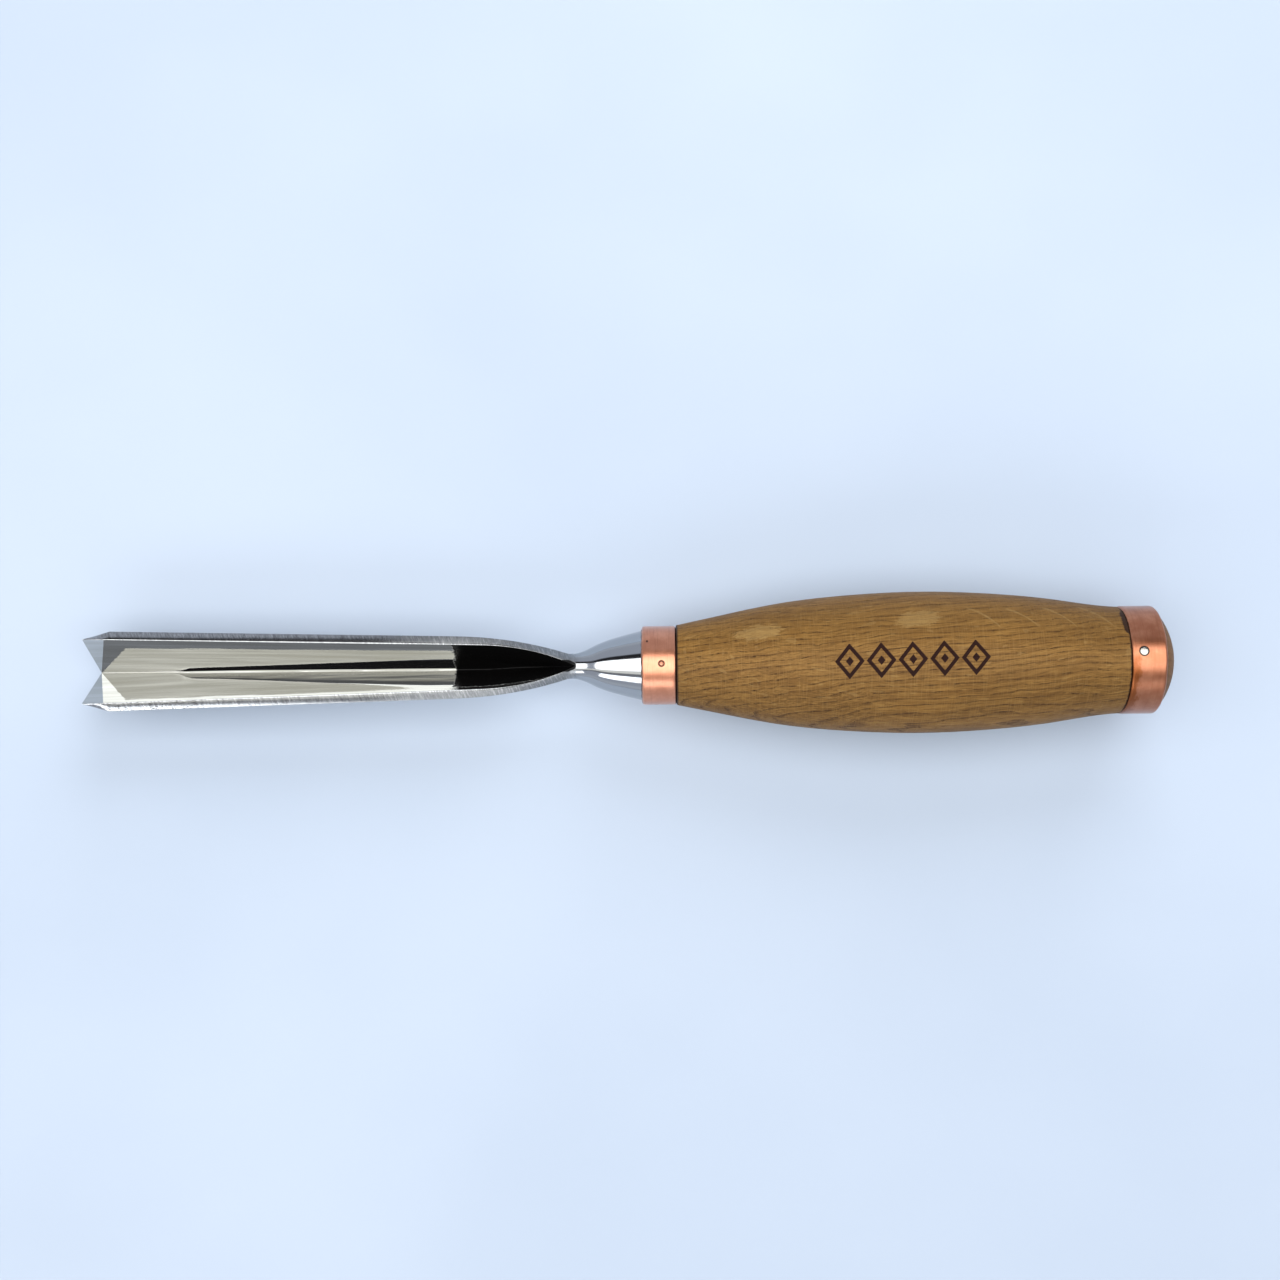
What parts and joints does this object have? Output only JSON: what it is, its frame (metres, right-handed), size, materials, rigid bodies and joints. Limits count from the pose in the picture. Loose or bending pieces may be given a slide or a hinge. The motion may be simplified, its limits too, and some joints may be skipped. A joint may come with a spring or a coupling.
{
  "type": "v gouge",
  "caption": "Mallet-struck V gouge (parting tool): polished 60 degree steel trough, flared bolster, turned oak handle with a copper ferrule and end hoop.",
  "frame": {"origin": "on the tool's axis at the middle of the front ferrule", "axes": "+X along the tool towards the butt, so the cutting edge is at -X; +Z out of the open trough; +Y to the right of a user who looks from the butt towards the edge with the trough up"},
  "size_m": [0.3036, 0.0394, 0.0394],
  "materials": {
    "polished_steel": "mirror polished, wing tops left coarse ground, black lacquer in the trough's run-out",
    "bright_steel": "bright drawn wire",
    "oak": "sanded and oiled, satin, with a burned ornament",
    "copper": "copper tube, brushed round, lightly tarnished",
    "cured_glue": "dark cured epoxy"
  },
  "bodies": {
    "root": {"blade": "polished_steel", "handle": "oak", "front_ferrule": "copper", "end_hoop": "copper", "ferrule_pin": "copper", "hoop_pin": "bright_steel", "tang_adhesive": "cured_glue"}
  },
  "joints": []
}
